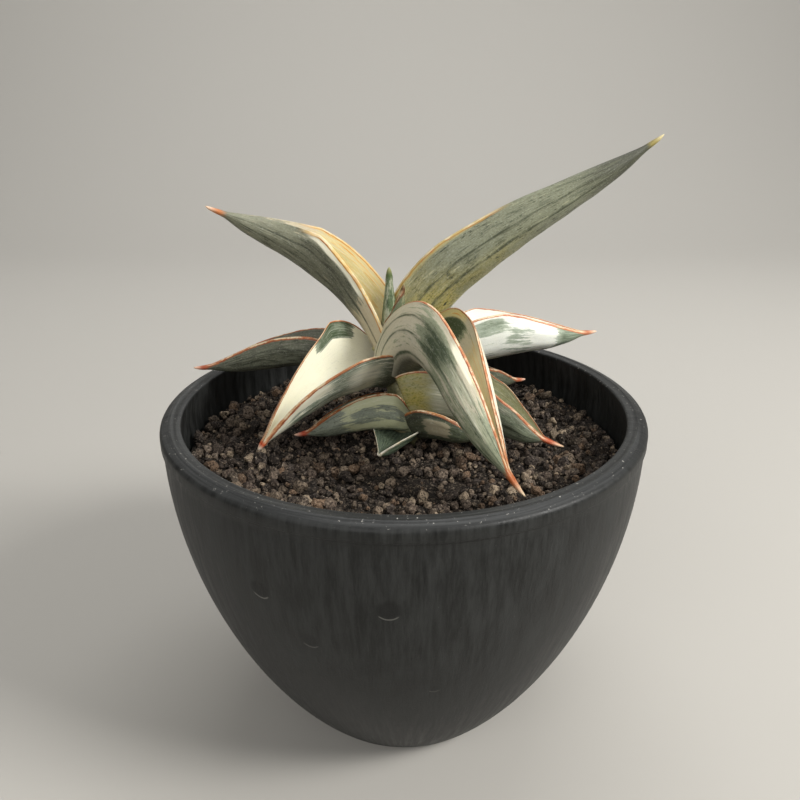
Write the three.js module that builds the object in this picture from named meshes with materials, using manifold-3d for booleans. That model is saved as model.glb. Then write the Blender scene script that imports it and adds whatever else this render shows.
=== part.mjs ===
// Potted snake plant: thick channelled leaves on a short stem, growing in grit in a round pot.
// Millimetres, +Z up. The origin is the middle of the pot's flat underside.
import * as THREE from 'three';
import { ParametricGeometry } from 'three/addons/geometries/ParametricGeometry.js';
import { mergeVertices } from 'three/addons/utils/BufferGeometryUtils.js';
import Module from 'manifold-3d';

const wasm = await Module();
wasm.setup();

// Pot: one moulding, with a rounded rim band that stands out a little from the wall.
const potHeight = 110;
const rimRadius = 75;
const rimInnerRadius = 68.7;
const rimRidgeRadius = 71.8;
const rimBandDepth = 4.5;
const rimStep = 0.6;
const rimFall = 0.8;
const baseRadius = 34.5;
const wallBulge = new THREE.Vector2(75, 67);
const wallTuck = new THREE.Vector2(57.7, 25.4);
const wallThickness = 4.5;
const floorThickness = 5;
const drainHoleRadius = 4;
const drainRingRadius = 20;
const drainHoleCount = 5;
const potSides = 40;
const wallPoints = 8;

// Grit fill and stem.
const clearance = 0.3;
const leafGap = 0.6;
const baseReach = 9;
const sliver = 0.05;
const gritLevel = 97;
const gritCrown = 1.5;
const stemFoot = new THREE.Vector3(3, 0, 90);
const stemHead = new THREE.Vector3(-3, 4, 127);
const stemFootRadius = 6.5;
const stemHeadRadius = 3.5;
const stemSides = 12;

// Leaf section: a gutter whose two walls turn up from the keel, thin out and end in a margin.
const keelSharpness = 0.35;
const thinning = 2.2;
const shoulder = 0.06;
const marginThickness = 0.8;
const sectionSteps = 16;
const spikeRadius = 0.8;
const spikePoint = 0.12;

// Each leaf: base is where it leaves the stem, length runs along its channel to the tip.
// Heading (0 is +X, 90 is +Y), climb above level, roll and fold of the walls are in degrees.
// They change smoothly from the base to the tip. Girth is half the unrolled width.
const leaves = [
  { name: 'leaf_young_center', color: 0x66785a, cuts: [6, 8],
    base: [-4, 3, 126], length: 27, heading: [-100, -95], climb: [84, 90], roll: [0, 0],
    fold: [75, 80], girth: 3.6, sheath: 0.8, peak: 0.3, taper: 1.2, thick: 2, spike: 0.12 },
  { name: 'leaf_young_second', color: 0x7d7f5c, cuts: [6, 8],
    base: [-2.4, 2.4, 126], length: 22, heading: [0, -10], climb: [88, 78], roll: [0, 0],
    fold: [80, 85], girth: 4.8, sheath: 0.8, peak: 0.45, taper: 1.3, thick: 2, spike: 0.1 },
  { name: 'leaf_long_right', color: 0x7b8272, cuts: [10, 22],
    base: [-3, 6, 122], length: 106, heading: [-5, 1, 8, 10], climb: [63, 35, 30, 33],
    roll: [37, 28, 16], fold: [62, 60, 82], girth: 14.5, sheath: 0.55, peak: 0.33, taper: 1.2,
    thick: 3.5, spike: 0.05 },
  { name: 'leaf_upper_left', color: 0x77796a, cuts: [10, 20],
    base: [-2.5, 3, 122], length: 79, heading: [134, 160, 190, 218], climb: [60, 39, 32, 24],
    roll: [-2, -3, -5], fold: [65, 53, 80], girth: 13, sheath: 0.55, peak: 0.6, taper: 0.8,
    thick: 3.6, spike: 0.07 },
  { name: 'leaf_front', color: 0x8d8f7c, cuts: [10, 18],
    base: [-2, 0, 121], length: 77, heading: [-34, -91, -70, -15],
    climb: [62, -10, -64, -48], roll: [21, 13, 2], fold: [69, 112, 120], girth: 15.5,
    sheath: 0.55, peak: 0.31, taper: 1.2, thick: 5.2, spike: 0.1 },
  { name: 'leaf_front_left', color: 0xd8d8c0, cuts: [10, 16],
    base: [-6.5, 3.5, 117.5], length: 50, heading: [218, 204, 204, 203],
    climb: [31, -20, -44, -50], roll: [2, 31, 36], fold: [60, 82, 87], girth: 18,
    sheath: 0.55, peak: 0.3, taper: 0.58, thick: 3.9, spike: 0.06 },
  { name: 'leaf_back_left', color: 0x4d5247, cuts: [10, 13],
    base: [-6, 7.5, 117.5], length: 68, heading: [174, 160, 163, 180], climb: [27, -4, -32, -2],
    roll: [-2, -9, -7], fold: [55, 62, 85], girth: 10, sheath: 0.55, peak: 0.35, taper: 1.45,
    thick: 4.2, spike: 0.07 },
  { name: 'leaf_back_right', color: 0xc4ccc0, cuts: [10, 14],
    base: [2.5, 9, 116], length: 70, heading: [20, 25, 23, 11], climb: [21, 3, -4, 2],
    roll: [17, 8, -1], fold: [72, 71, 82], girth: 15.5, sheath: 0.55, peak: 0.45, taper: 1,
    thick: 4, spike: 0.07 },
  { name: 'leaf_right_low', color: 0x5c6a58, cuts: [10, 13],
    base: [2, -0.5, 107], length: 51, heading: [-27, -5, -5, -25], climb: [30, -20, -28, -12],
    roll: [8, 8, -2], fold: [67, 65, 80], girth: 20, sheath: 0.75, peak: 0.22, taper: 1.36,
    thick: 3.8, spike: 0.12 },
  { name: 'leaf_left_low', color: 0x6f7a66, cuts: [8, 11],
    base: [5.5, -5, 105], length: 41, heading: [162, 188, 203, 181],
    climb: [11, 4, -24, -9], roll: [-25, -19, -13], fold: [65, 62, 84], girth: 10.5,
    sheath: 0.55, peak: 0.3, taper: 1.5, thick: 3.75, spike: 0.1 },
  { name: 'leaf_back_low', color: 0x55604f, cuts: [8, 11],
    base: [4, 7, 105], length: 54, heading: [36, 42, 42, 36], climb: [20, 2, -26, -10],
    roll: [0, 0, 0], fold: [60, 65, 84], girth: 10, sheath: 0.55, peak: 0.35, taper: 1.4,
    thick: 3.6, spike: 0.1 },
  { name: 'leaf_front_low', color: 0x4a4f3c, cuts: [8, 9],
    base: [3.5, -4, 102.5], length: 25, heading: [-35, -34, -28, -19], climb: [40, 1, -13, -18],
    roll: [3, 1, -2], fold: [60, 63, 84], girth: 10, sheath: 0.55, peak: 0.35, taper: 1.55,
    thick: 3.9, spike: 0.1 },
  { name: 'leaf_old_scale', color: 0x59654f, cuts: [6, 7],
    base: [-1, -4, 101], length: 14, heading: [-108, -134], climb: [-2, -16], roll: [0, 0],
    fold: [34, 52], girth: 9.5, sheath: 0.8, peak: 0.3, taper: 1.2, thick: 1.8, spike: 0.06 },
];

const potColor = 0x2b2c2e;
const gritColor = 0x4a4038;
const stemColor = 0x8a8468;

// A value that runs smoothly through a few station values, as a Bezier curve of one number.
function blend(stations, t) {
  let values = stations;
  while (values.length > 1) {
    values = values.slice(1).map((value, i) => values[i] + (value - values[i]) * t);
  }
  return values[0];
}

// Half of the unrolled width at a place along the leaf, ending in a thin spike.
function halfGirth(leaf, t) {
  const blade = Math.min(t / (1 - leaf.spike), 1);
  const rise = Math.sin((Math.PI / 2) * Math.min(blade / leaf.peak, 1));
  const past = Math.max((blade - leaf.peak) / (1 - leaf.peak), 0);
  const fall = 1 - (past ** (leaf.taper + 1) * (1 + shoulder)) / (past + shoulder);
  const body = leaf.girth * (leaf.sheath + (1 - leaf.sheath) * rise) * fall;
  const spike = spikeRadius * Math.min((1 - t) / leaf.spike, 1) ** 0.7 + spikePoint;
  return Math.hypot(body, spike);
}

// How far a wall has turned up at a share s of the way from the keel to the margin.
function turn(s, fold) {
  return (fold * s * (1 + keelSharpness)) / (s + keelSharpness);
}

// The gutter's inner line for a wall of length 1: out to the side, and up.
function sectionLine(s, fold) {
  const line = new THREE.Vector2();
  for (let i = 0; i < sectionSteps; i++) {
    const angle = turn(((i + 0.5) / sectionSteps) * s, fold);
    line.x += (Math.cos(angle) * s) / sectionSteps;
    line.y += (Math.sin(angle) * s) / sectionSteps;
  }
  return line;
}

// The channel's bottom line, as places with their forward, side and up directions.
function leafSpine(leaf, steps) {
  const spine = [];
  const place = new THREE.Vector3(...leaf.base);
  let before = null;
  for (let i = 0; i <= steps; i++) {
    const t = i / steps;
    const heading = THREE.MathUtils.degToRad(blend(leaf.heading, t));
    const climb = THREE.MathUtils.degToRad(blend(leaf.climb, t));
    const roll = THREE.MathUtils.degToRad(blend(leaf.roll, t));
    const forward = new THREE.Vector3(
      Math.cos(climb) * Math.cos(heading),
      Math.cos(climb) * Math.sin(heading),
      Math.sin(climb),
    );
    if (before) {
      const step = before.clone().add(forward).multiplyScalar(leaf.length / steps / 2);
      place.add(step);
    }
    before = forward;
    const side = new THREE.Vector3(Math.sin(heading), -Math.cos(heading), 0);
    side.applyAxisAngle(forward, -roll);
    const up = side.clone().cross(forward);
    spine.push({ t, place: place.clone(), forward, side, up });
  }
  return spine;
}

// A closed leaf surface. grow thickens it all round, for cutting a neighbour clear of it.
function leafGeometry(leaf, grow) {
  const [cuts, steps] = leaf.cuts;
  const spine = leafSpine(leaf, steps);
  const around = 2 * cuts + 2;
  const surface = (u, v, target) => {
    const station = spine[Math.round(v * steps)];
    const girth = halfGirth(leaf, station.t) + grow;
    const fold = THREE.MathUtils.degToRad(blend(leaf.fold, station.t));
    const place = Math.round((1 - u) * around) % around;
    const outside = place <= cuts;
    const s = outside ? (2 * place) / cuts - 1 : 1 - (2 * (place - cuts - 1)) / cuts;
    const share = Math.abs(s);
    const line = sectionLine(share, fold).multiplyScalar(girth);
    const angle = turn(share, fold);
    const rim = Math.min(marginThickness, girth);
    const body = leaf.thick * Math.tanh(girth / leaf.thick) * (1 - share ** thinning) ** 1.1;
    const middle = (body + rim) / 2;
    const depth = v === 0 ? middle : outside ? body + rim + grow : -grow;
    target.copy(station.place);
    if (v < 1) {
      const out = Math.sign(s) * (line.x + depth * Math.sin(angle));
      target.addScaledVector(station.side, out);
      target.addScaledVector(station.up, line.y - depth * Math.cos(angle));
    }
    if (v === 0) target.addScaledVector(station.forward, -baseReach * grow);
    if (v === 1) target.addScaledVector(station.forward, grow);
  };
  return new ParametricGeometry(surface, around, steps);
}

// A round solid about Z, from a half outline of points (radius, height).
function turned(outline, sides) {
  return new THREE.LatheGeometry(outline, sides).rotateX(Math.PI / 2);
}

// A closed geometry as a solid for cutting and joining.
function solid(geometry) {
  const shape = geometry.clone();
  shape.deleteAttribute('normal');
  shape.deleteAttribute('uv');
  const merged = mergeVertices(shape, 1e-4);
  const index = Array.from(merged.index.array);
  const corners = [];
  for (let i = 0; i < index.length; i += 3) {
    const [a, b, c] = index.slice(i, i + 3);
    if (a !== b && b !== c && a !== c) corners.push(a, b, c);
  }
  return new wasm.Manifold(new wasm.Mesh({
    numProp: 3,
    vertProperties: new Float32Array(merged.attributes.position.array),
    triVerts: new Uint32Array(corners),
  }));
}

// The largest body of a solid, without the crumbs and slivers that a cut can leave.
function largest(shape) {
  const smooth = shape.asOriginal().simplify(sliver);
  return smooth.decompose().sort((a, b) => b.volume() - a.volume())[0];
}

function meshOf(name, shape, color, roughness) {
  const { vertProperties, triVerts } = shape.getMesh();
  const geometry = new THREE.BufferGeometry();
  geometry.setAttribute('position', new THREE.BufferAttribute(vertProperties, 3));
  geometry.setIndex(new THREE.BufferAttribute(triVerts, 1));
  geometry.computeVertexNormals();
  const material = new THREE.MeshStandardMaterial({ color, roughness, metalness: 0 });
  const mesh = new THREE.Mesh(geometry, material);
  mesh.name = name;
  return mesh;
}

// The pot's outer wall from its foot up to the rim band, and the same line moved inwards.
function wallLine(inset, points) {
  const wallTop = new THREE.Vector2(rimRadius - rimStep, potHeight - rimBandDepth);
  const foot = new THREE.Vector2(baseRadius, 0);
  const curve = new THREE.CubicBezierCurve(foot, wallTuck, wallBulge, wallTop);
  return curve.getPoints(points).map((point, i) => {
    const tangent = curve.getTangent(i / points);
    return new THREE.Vector2(point.x - tangent.y * inset, point.y + tangent.x * inset);
  });
}

function potSolid() {
  const rim = [
    new THREE.Vector2(rimRadius, potHeight - rimBandDepth),
    new THREE.Vector2(rimRadius, potHeight - 2 * rimFall),
    new THREE.Vector2(rimRadius - rimFall, potHeight - rimFall / 2),
    new THREE.Vector2(rimRidgeRadius, potHeight),
    new THREE.Vector2(rimInnerRadius, potHeight),
  ];
  const inside = wallLine(wallThickness, wallPoints).filter((point) => point.y > floorThickness + 4);
  const outline = [
    new THREE.Vector2(0, 0),
    ...wallLine(0, wallPoints),
    ...rim,
    ...inside.reverse(),
    new THREE.Vector2(baseRadius - 1, floorThickness),
    new THREE.Vector2(0, floorThickness),
  ];
  let pot = solid(turned(outline, potSides));
  for (let i = 0; i < drainHoleCount; i++) {
    const angle = (i / drainHoleCount) * 2 * Math.PI + Math.PI / 2;
    const hole = new THREE.CylinderGeometry(drainHoleRadius, drainHoleRadius, 30, 8);
    hole.rotateX(Math.PI / 2);
    hole.translate(drainRingRadius * Math.cos(angle), drainRingRadius * Math.sin(angle), 0);
    pot = pot.subtract(solid(hole));
  }
  return pot;
}

function gritSolid() {
  const gap = wallThickness + clearance;
  const wall = wallLine(gap, wallPoints).filter((point) => point.y > floorThickness + 4);
  const sides = wall.filter((point) => point.y < gritLevel - 2);
  const edge = sides[sides.length - 1];
  const next = wall[sides.length];
  const share = (gritLevel - edge.y) / (next.y - edge.y);
  const outline = [
    new THREE.Vector2(0, floorThickness + clearance),
    new THREE.Vector2(baseRadius - 1 - 2 * clearance, floorThickness + clearance),
    ...sides,
    edge.clone().lerp(next, share),
    new THREE.Vector2(rimRadius / 2, gritLevel + gritCrown / 2),
    new THREE.Vector2(0, gritLevel + gritCrown),
  ];
  return solid(turned(outline, potSides));
}

// The stem leans from its foot in the grit to the head of the rosette.
function stemSolid(grow) {
  const length = stemFoot.distanceTo(stemHead);
  const outline = [
    new THREE.Vector2(0, -grow),
    new THREE.Vector2(stemFootRadius * 0.7 + grow, -grow),
    new THREE.Vector2(stemFootRadius + grow, length * 0.2),
    new THREE.Vector2(stemFootRadius + grow, length * 0.5),
    new THREE.Vector2(stemHeadRadius + grow, length),
    new THREE.Vector2(0, length + stemHeadRadius / 2 + grow),
  ];
  const geometry = turned(outline, stemSides);
  const lean = new THREE.Quaternion().setFromUnitVectors(
    new THREE.Vector3(0, 0, 1),
    stemHead.clone().sub(stemFoot).normalize(),
  );
  geometry.applyQuaternion(lean).translate(stemFoot.x, stemFoot.y, stemFoot.z);
  return solid(geometry);
}

const plant = new THREE.Group();
plant.add(meshOf('pot', largest(potSolid()), potColor, 0.5));

let grit = gritSolid().subtract(stemSolid(clearance));
plant.add(meshOf('stem', stemSolid(0), stemColor, 0.6));

// Every leaf is cut clear of the stem and of the leaves before it, and the grit of them all.
let taken = stemSolid(clearance);
for (const leaf of leaves) {
  const shape = largest(solid(leafGeometry(leaf, 0)).subtract(taken));
  const room = solid(leafGeometry(leaf, leafGap));
  taken = taken.add(room);
  grit = grit.subtract(room);
  plant.add(meshOf(leaf.name, shape, leaf.color, 0.45));
}
plant.add(meshOf('grit', largest(grit), gritColor, 0.95));

export default plant;
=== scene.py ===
import math
import random

import bmesh
import bpy
from mathutils import Matrix, Vector, noise


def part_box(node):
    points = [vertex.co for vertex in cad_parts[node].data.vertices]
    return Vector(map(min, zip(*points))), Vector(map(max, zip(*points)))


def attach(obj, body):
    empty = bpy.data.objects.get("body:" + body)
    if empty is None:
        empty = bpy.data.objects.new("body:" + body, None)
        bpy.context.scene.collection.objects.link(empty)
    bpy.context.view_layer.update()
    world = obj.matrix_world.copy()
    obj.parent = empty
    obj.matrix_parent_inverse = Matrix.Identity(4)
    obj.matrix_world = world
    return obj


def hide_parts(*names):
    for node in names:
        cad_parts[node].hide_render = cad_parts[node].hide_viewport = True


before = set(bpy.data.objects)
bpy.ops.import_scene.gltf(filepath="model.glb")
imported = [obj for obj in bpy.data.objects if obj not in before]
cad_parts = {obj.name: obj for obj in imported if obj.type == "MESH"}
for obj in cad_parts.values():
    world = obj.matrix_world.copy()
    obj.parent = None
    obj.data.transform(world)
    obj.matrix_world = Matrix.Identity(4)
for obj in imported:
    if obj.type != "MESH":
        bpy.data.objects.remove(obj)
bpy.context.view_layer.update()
mm = 0.001

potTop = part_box("pot")[1][2]


# small node helpers, so a material reads as a list of layers
def addNode(tree, kind, **values):
    node = tree.nodes.new(kind)
    for name, value in values.items():
        if name in node.inputs:
            plug(tree, value, node.inputs[name])
        else:
            setattr(node, name, value)
    return node


def plug(tree, value, socket):
    if isinstance(value, bpy.types.NodeSocket):
        tree.links.new(value, socket)
    else:
        socket.default_value = value


def calc(tree, operation, *values, clamp=False):
    node = tree.nodes.new("ShaderNodeMath")
    node.operation = operation
    node.use_clamp = clamp
    for value, socket in zip(values, node.inputs):
        plug(tree, value, socket)
    return node.outputs[0]


def ramp(tree, value, low, high, fromValue=0.0, toValue=1.0):
    node = tree.nodes.new("ShaderNodeMapRange")
    node.interpolation_type = "SMOOTHSTEP"
    for each, socket in zip((value, low, high, fromValue, toValue), node.inputs):
        plug(tree, each, socket)
    return node.outputs[0]


def tint(tree, amount, under, over, mode="MIX"):
    node = tree.nodes.new("ShaderNodeMix")
    node.data_type = "RGBA"
    node.blend_type = mode
    plug(tree, amount, node.inputs[0])
    plug(tree, under, node.inputs[6])
    plug(tree, over, node.inputs[7])
    return node.outputs[2]


def stretched(tree, vector, stretch):
    node = tree.nodes.new("ShaderNodeVectorMath")
    node.operation = "MULTIPLY"
    plug(tree, vector, node.inputs[0])
    plug(tree, stretch, node.inputs[1])
    return node.outputs[0]


def grain(tree, vector, scale, detail=3.0, roughness=0.55):
    node = addNode(tree, "ShaderNodeTexNoise", Vector=vector, Scale=scale, Detail=detail,
                   Roughness=roughness)
    return node.outputs[0]


def paint(code):  # a colour written as on a paint card, made linear
    parts = [int(code[i:i + 2], 16) / 255 for i in (1, 3, 5)]
    linear = [p / 12.92 if p <= 0.04045 else ((p + 0.055) / 1.055) ** 2.4 for p in parts]
    return (*linear, 1.0)


def startMaterial(name):
    material = bpy.data.materials.new(name)
    material.use_nodes = True
    tree = material.node_tree
    shader = tree.nodes["Principled BSDF"]
    return material, tree, shader


def finishPiece(bm, name, material, replaced=(), smooth=True):
    mesh = bpy.data.meshes.new(name)
    bm.to_mesh(mesh)
    bm.free()
    piece = bpy.data.objects.new(name, mesh)
    bpy.context.collection.objects.link(piece)
    mesh.materials.append(material)
    for face in mesh.polygons:
        face.use_smooth = smooth
    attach(piece, "root")
    if replaced:
        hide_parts(*replaced)
    return piece


def smoothstep(low, high, value):
    if low == high:
        return float(value >= low)
    x = min(max((value - low) / (high - low), 0), 1)
    return x * x * (3 - 2 * x)


# every leaf is a folded gutter grown along its own curve
leafShape = {
    "keelSharpness": 0.35, "thinning": 2.2, "shoulder": 0.06, "edge": 0.42, "edgeRound": 0.6,
    "bead": 0.1, "beadFrom": 0.45, "beadWide": 0.35, "spikeRadius": 0.66, "spikePoint": 0.08,
    "spikeColor": 1.6, "ribs": 0.09, "ribTurns": 19, "rough": 0.35, "roughAcross": 2.2,
    "roughLong": 9, "around": 112, "perMm": 1.7, "fewest": 40,
}

# Sizes in millimetres and degrees, as in the model they stand for. near is the side of the
# channel that faces the front, tuck how narrow its wall is at the base and where it is full,
# and start the share of a leaf left out because it is buried in the crown. Pairs in green are
# for the outer and the inner face. Margin and spikes go from their inner to their outer colour.
# Washes paint zones: face, across (from keel 0 to margin 1 on the near side, minus on the far
# side), along (0 base to 1 tip), softness, layer and amount. Dark washes that begin at the base
# are painted shade, where the crowded crown shades the leaf bases.
leaves = {
    "leaf_young_center": {
        "base": (-4, 3, 126), "length": 27, "heading": (-100, -95), "climb": (84, 90),
        "roll": (0, 0), "fold": (75, 80), "girth": 3.6, "sheath": 0.8, "peak": 0.3,
        "taper": 0.75, "thick": 2, "spike": 0.12, "near": 1,
        "green": (0.55, 0.5), "pale": "#a3a78f", "leafGreen": "#5a6a4a", "deep": "#2b3c24",
        "lines": (0.35,), "mottle": 1.2,
        "margin": ("#55603a", "#8f9a72"), "marginWidth": 0.34, "spikes": ("#4a5c30", "#8a8a5a"),
        "washes": [("both", -1, 1, -0.2, 0.45, 0.12, "green", -0.4)]},
    "leaf_young_second": {
        "base": (-2.4, 2.4, 126), "length": 22, "heading": (0, -10), "climb": (88, 78),
        "roll": (0, 0), "fold": (80, 85), "girth": 4.8, "sheath": 0.8, "peak": 0.45,
        "taper": 1.3, "thick": 2, "spike": 0.1, "near": 1,
        "green": (0.6, 0.4), "pale": "#8d8a68", "leafGreen": "#5a6345", "deep": "#333d26",
        "margin": ("#5a3a1e", "#8c6a42"), "marginWidth": 0.85, "spikes": ("#5a3a1e", "#8a7a5a"),
        "washes": []},
    "leaf_long_right": {
        "base": (-3, 6, 122), "length": 106, "heading": (-5, 1, 8, 10),
        "climb": (63, 35, 30, 33), "roll": (37, 28, 16), "fold": (62, 60, 82), "girth": 14.5,
        "sheath": 0.55, "peak": 0.33, "taper": 1.2, "thick": 3.5, "spike": 0.05, "near": 1,
        "green": (0.82, 0.6), "pale": "#a9a88a", "leafGreen": "#7d806a", "deep": "#3c402e",
        "lines": (0.27, 0.52), "mottle": 1.1,
        "margin": ("#ab8440", "#c4b07a"), "marginWidth": 0.85, "marginSpan": (0.1, 0.5),
        "spikes": ("#8f8248", "#cdbf92"),
        "washes": [("outer", 0.5, 1.2, -0.2, 0.2, 0.12, "green", -0.6),
                   ("outer", -1, 1.2, -0.2, 0.24, 0.12, "warm", 0.62),
                   ("outer", 0.88, 1.3, 0.12, 0.46, 0.06, "gold", 0.55),
                   ("outer", -0.4, 0.22, 0.1, 0.85, 0.12, "light", 0.15),
                   ("outer", -0.4, 0.3, 0.12, 0.5, 0.12, "warm", 0.4),
                   ("outer", 0.3, 0.55, -0.2, 0.3, 0.1, "warm", 0.3),
                   ("outer", -1, 1.2, 0.74, 1.1, 0.1, "dark", 0.55),
                   ("outer", -1, 1.2, 0.8, 1.1, 0.1, "green", 0.5)]},
    "leaf_upper_left": {
        "base": (-2.5, 3, 122), "length": 79, "heading": (134, 160, 190, 218),
        "climb": (60, 39, 32, 24), "roll": (-2, -3, -5), "fold": (65, 53, 80), "girth": 13,
        "sheath": 0.55, "peak": 0.6, "taper": 0.8, "thick": 3.6, "spike": 0.07, "near": -1,
        "green": (0.85, 0.1), "pale": "#b9ad92", "leafGreen": "#7b7c68", "deep": "#3e4032",
        "lines": (0.35, 0.62), "mottle": 0.8,
        "margin": ("#c08a3c", "#dcc084"), "marginWidth": 0.935, "marginSpan": (0.05, 0.6),
        "spikes": ("#b9713f", "#e2c2a6"),
        "washes": [("outer", -1, 1.2, -0.2, 0.27, 0.08, "green", -0.75),
                   ("outer", 0.4, 0.8, 0.3, 0.6, 0.08, "dark", 0.35),
                   ("outer", 0.84, 1.3, 0.27, 0.6, 0.05, "light", 0.95),
                   ("outer", 0.65, 1.3, 0.68, 0.95, 0.1, "light", 0.25),
                   ("inner", -1.2, 1, 0.15, 0.6, 0.07, "gold", 0.62),
                   ("inner", -0.75, -0.35, 0.2, 0.6, 0.06, "green", 0.45),
                   ("inner", -1.2, 1, 0.68, 1.1, 0.1, "green", 0.5)]},
    "leaf_front": {
        "base": (-2, 0, 121), "length": 77, "heading": (-34, -91, -70, -15),
        "climb": (62, -10, -64, -48), "roll": (21, 13, 2), "fold": (69, 112, 120),
        "girth": 15.5, "sheath": 0.55, "peak": 0.31, "taper": 1.2, "thick": 5.2,
        "spike": 0.1, "near": 1,
        "green": (0.25, 0.2), "pale": "#beb7a0", "leafGreen": "#8f947a", "deep": "#3c4a32",
        "lines": (0.22, 0.5, 0.74), "mottle": 1.1, "margin": ("#8a4520", "#c08258"),
        "marginWidth": 0.51, "spikes": ("#a85a2c", "#dcc3a2"),
        "washes": [("outer", 0.42, 0.86, 0.36, 0.5, 0.06, "green", 0.85),
                   ("outer", 0.42, 0.86, 0.36, 0.5, 0.06, "dark", 0.35),
                   ("outer", 0.1, 0.75, 0.42, 0.66, 0.1, "green", 0.35),
                   ("outer", 0.84, 1.3, 0.47, 0.6, 0.03, "light", 0.95),
                   ("outer", 0.45, 0.8, 0.5, 0.8, 0.1, "light", 0.4),
                   ("outer", -0.6, 1.0, 0.68, 1.1, 0.08, "green", 0.5),
                   ("outer", -1.2, -0.4, 0.3, 1.0, 0.1, "light", 0.7),
                   ("outer", 0.9, 1.2, 0.55, 0.85, 0.04, "gold", 0.6),
                   ("inner", -0.82, -0.2, 0.16, 0.36, 0.04, "green", 1.3),
                   ("inner", -1.2, -0.82, 0.14, 0.36, 0.03, "gold", 0.7),
                   # painted shade over the base, where the crown shades this leaf
                   ("outer", -1.2, 0.17, -0.2, 0.28, 0.04, "dark", 0.85),
                   ("inner", -1.2, 1, 0.42, 1.0, 0.05, "gold", 0.5),
                   ("inner", -1.2, 1, 0.47, 1.0, 0.04, "light", 0.6)]},
    "leaf_front_left": {
        "base": (-6.5, 3.5, 117.5), "length": 50, "heading": (218, 204, 204, 203),
        "climb": (31, -20, -44, -50), "roll": (2, 31, 36), "fold": (60, 82, 87), "girth": 18,
        "sheath": 0.55, "peak": 0.3, "taper": 0.58, "thick": 3.9, "spike": 0.06, "near": -1,
        "green": (0.62, -0.2), "pale": "#ebe8d2", "leafGreen": "#8a9280", "deep": "#38482c",
        "lines": (0.3, 0.55), "mottle": 1.3, "margin": ("#8a4520", "#c48a60"),
        "marginWidth": 0.51, "spikes": ("#b8522a", "#efe0ca"),
        "washes": [("outer", 0.74, 1.3, 0.45, 1.1, 0.08, "light", 0.9),
                   ("outer", 0.2, 0.9, 0.15, 0.6, 0.12, "light", 0.3),
                   # painted shade at the base, in the crowded crown
                   ("outer", -1, 1.2, -0.2, 0.12, 0.06, "dark", 0.9),
                   ("outer", 0.3, 0.9, 0.16, 0.34, 0.05, "light", 0.35),
                   ("outer", -1, 1, 0.72, 1.1, 0.08, "light", 0.6),
                   ("outer", -0.5, 0.3, 0.1, 0.8, 0.1, "dark", 0.35),
                   ("inner", -1.3, -0.7, 0.17, 0.385, 0.035, "green", 1.35),
                   # painted shade on the inner face at the base
                   ("inner", -1.3, 1, -0.1, 0.12, 0.1, "dark", 0.25),
                   ("inner", -1, 1, 0.75, 1.1, 0.1, "gold", 0.45),
                   ("outer", 0.93, 1.2, 0.5, 0.95, 0.04, "gold", 0.5)]},
    "leaf_back_left": {
        "base": (-6, 7.5, 117.5), "length": 68, "heading": (174, 160, 163, 180),
        "climb": (27, -4, -32, -2), "roll": (-2, -9, -7), "fold": (55, 62, 85), "girth": 10,
        "sheath": 0.55, "peak": 0.35, "taper": 1.45, "thick": 4.2, "spike": 0.07, "near": -1,
        "tuck": (0.2, 0.36),
        "green": (1.0, 0.75), "pale": "#8f9183", "leafGreen": "#6d6f5e", "deep": "#34362a",
        "mottle": 1.0, "margin": ("#8a4424", "#b0714c"), "marginWidth": 0.51,
        "spikes": ("#9c4c30", "#e0b9a0"),
        "washes": [("outer", 0.72, 1.3, 0.25, 0.7, 0.08, "light", 0.25),
                   # painted shade on the inner face, from the base up into the fold
                   ("inner", -1.2, 1, -0.2, 0.6, 0.1, "dark", 0.3)]},
    "leaf_back_right": {
        "base": (2.5, 9, 116), "length": 70, "heading": (20, 25, 23, 11),
        "climb": (21, 3, -4, 2), "roll": (17, 8, -1), "fold": (72, 71, 82), "girth": 15.5,
        "sheath": 0.55, "peak": 0.45, "taper": 1, "thick": 4, "spike": 0.07, "near": 1,
        "green": (0.1, 0.1), "pale": "#e8eae0", "leafGreen": "#a0aa98", "deep": "#65725c",
        "mottle": 0.8, "margin": ("#a8603a", "#cc9a78"), "marginWidth": 0.51,
        "spikes": ("#b8704c", "#e6c4aa"),
        "washes": [("outer", -1, 1.2, -0.2, 0.24, 0.03, "green", 0.9),
                   # painted shade over the base, in the crowded crown
                   ("outer", -1, 1.2, -0.2, 0.24, 0.03, "dark", 0.8),
                   ("outer", 0.66, 0.93, 0.3, 0.44, 0.04, "green", 0.75),
                   ("outer", 0.4, 0.78, 0.46, 0.6, 0.05, "green", 0.5),
                   ("outer", 0.1, 0.4, 0.28, 0.6, 0.06, "green", 0.3),
                   ("outer", -0.7, 0.12, 0.2, 0.95, 0.08, "green", 0.45),
                   ("outer", -1, 1.2, 0.76, 1.2, 0.04, "green", 1.1)]},
    "leaf_right_low": {
        "base": (2, -0.5, 107), "length": 51, "heading": (-27, -5, -5, -25),
        "climb": (30, -20, -28, -12), "roll": (8, 8, -2), "fold": (67, 65, 80),
        "girth": 20, "sheath": 0.75, "peak": 0.22, "taper": 1.36, "thick": 3.8,
        "spike": 0.12, "near": 1,
        "green": (0.95, 0.65), "pale": "#a3a48c", "leafGreen": "#747b66", "deep": "#33382a",
        "mottle": 1.0, "margin": ("#8a4422", "#c2845e"), "marginWidth": 0.51, "wavy": 0.05,
        "start": 0.085,
        "spikes": ("#b4552f", "#e2bfa0"),
        "washes": [("outer", 0.76, 1.3, 0.5, 0.95, 0.07, "light", 0.35),
                   ("outer", -1, 1.2, -0.2, 0.34, 0.06, "green", -0.7),
                   ("outer", -1, 1.2, -0.2, 0.2, 0.05, "warm", 1.0),
                   ("outer", 0.1, 1.2, 0.2, 0.42, 0.05, "light", 0.4),
                   # painted shade over the base, and a painted shadow along the cut base edge
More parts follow.
